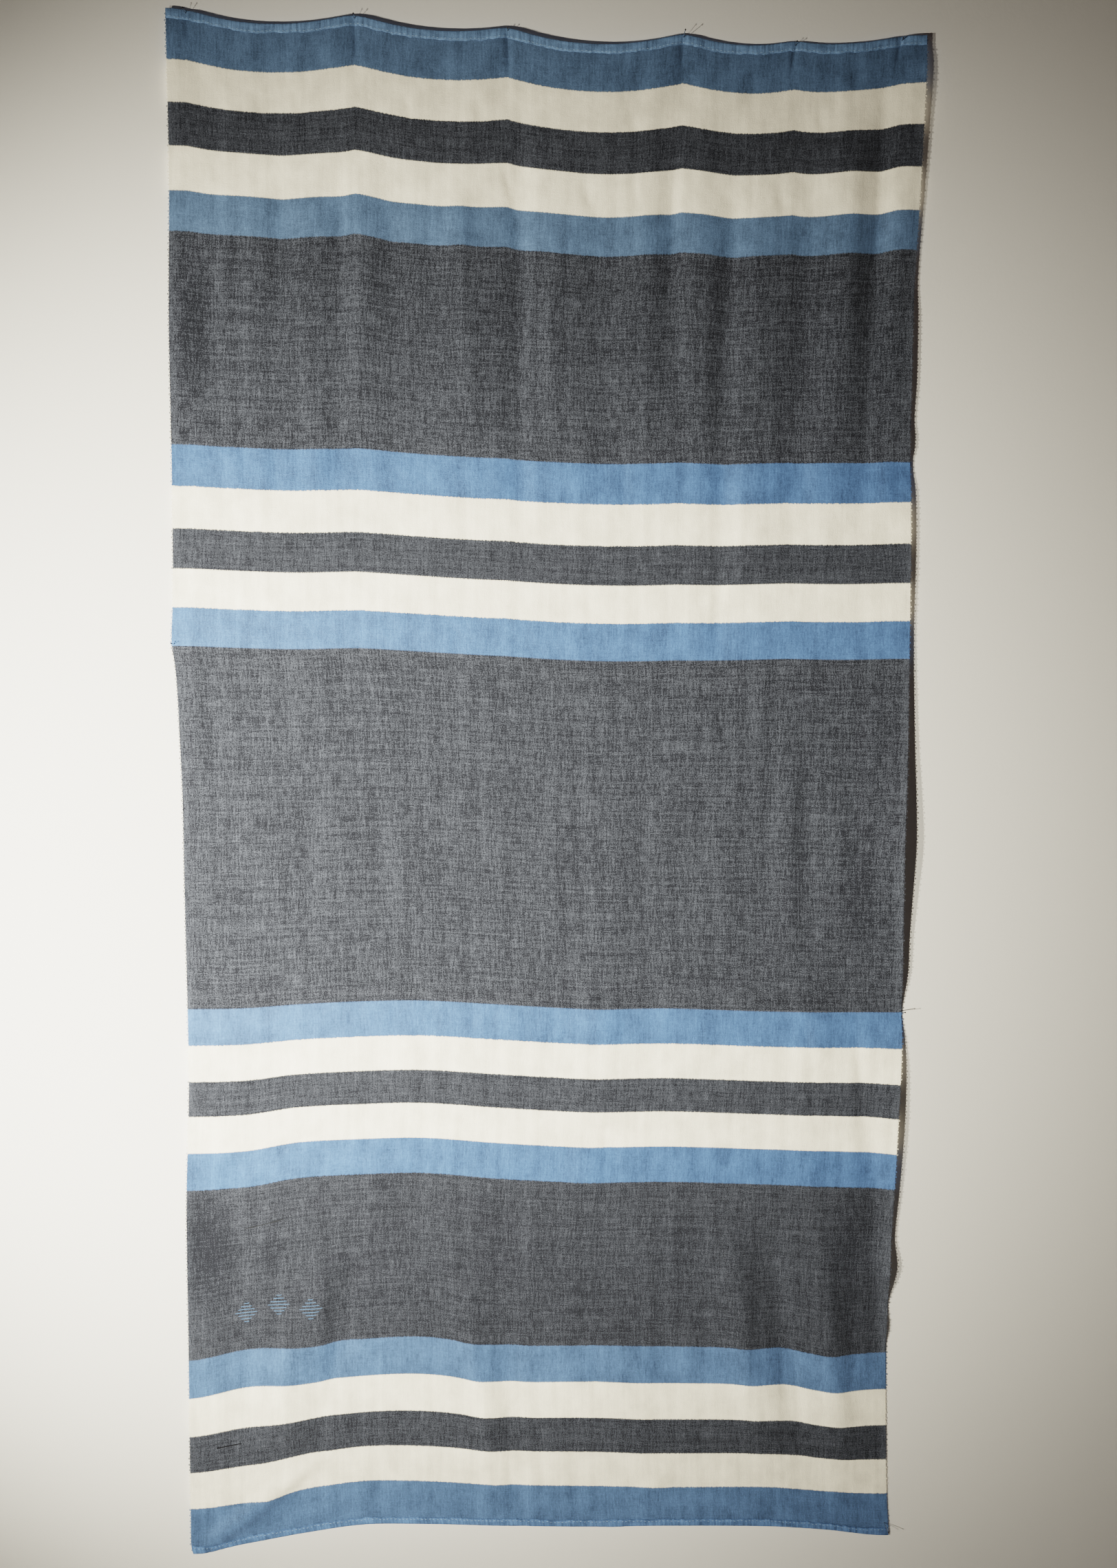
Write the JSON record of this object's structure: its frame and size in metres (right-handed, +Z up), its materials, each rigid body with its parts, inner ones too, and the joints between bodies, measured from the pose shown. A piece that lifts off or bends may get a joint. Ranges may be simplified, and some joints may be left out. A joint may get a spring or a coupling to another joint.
{
  "type": "fouta towel with pins",
  "caption": "Flat-woven striped fouta towel hung flat from a wall by straight steel pins, with turned hems and soft vertical folds.",
  "frame": {"origin": "on the wall's face, at the middle of the towel's top edge", "axes": "+X to the right as seen from the room, +Y into the wall, +Z up; the towel hangs on the -Y side of Y = 0, down to about Z = -2.0 m"},
  "size_m": [0.9685, 0.0477, 2.0169],
  "materials": {
    "cotton_cloth": "flat-woven cotton, matt, in charcoal, light blue and off-white bands",
    "pin_steel": "plain drawn steel wire"
  },
  "bodies": {
    "root": {"fouta_cloth": "cotton_cloth", "hem_pin_1": "pin_steel", "hem_pin_2": "pin_steel", "hem_pin_3": "pin_steel", "hem_pin_4": "pin_steel", "hem_pin_5": "pin_steel", "hem_pin_6": "pin_steel", "left_pin": "pin_steel", "right_pin": "pin_steel", "lower_right_pin": "pin_steel", "lower_left_pin": "pin_steel"}
  },
  "joints": []
}
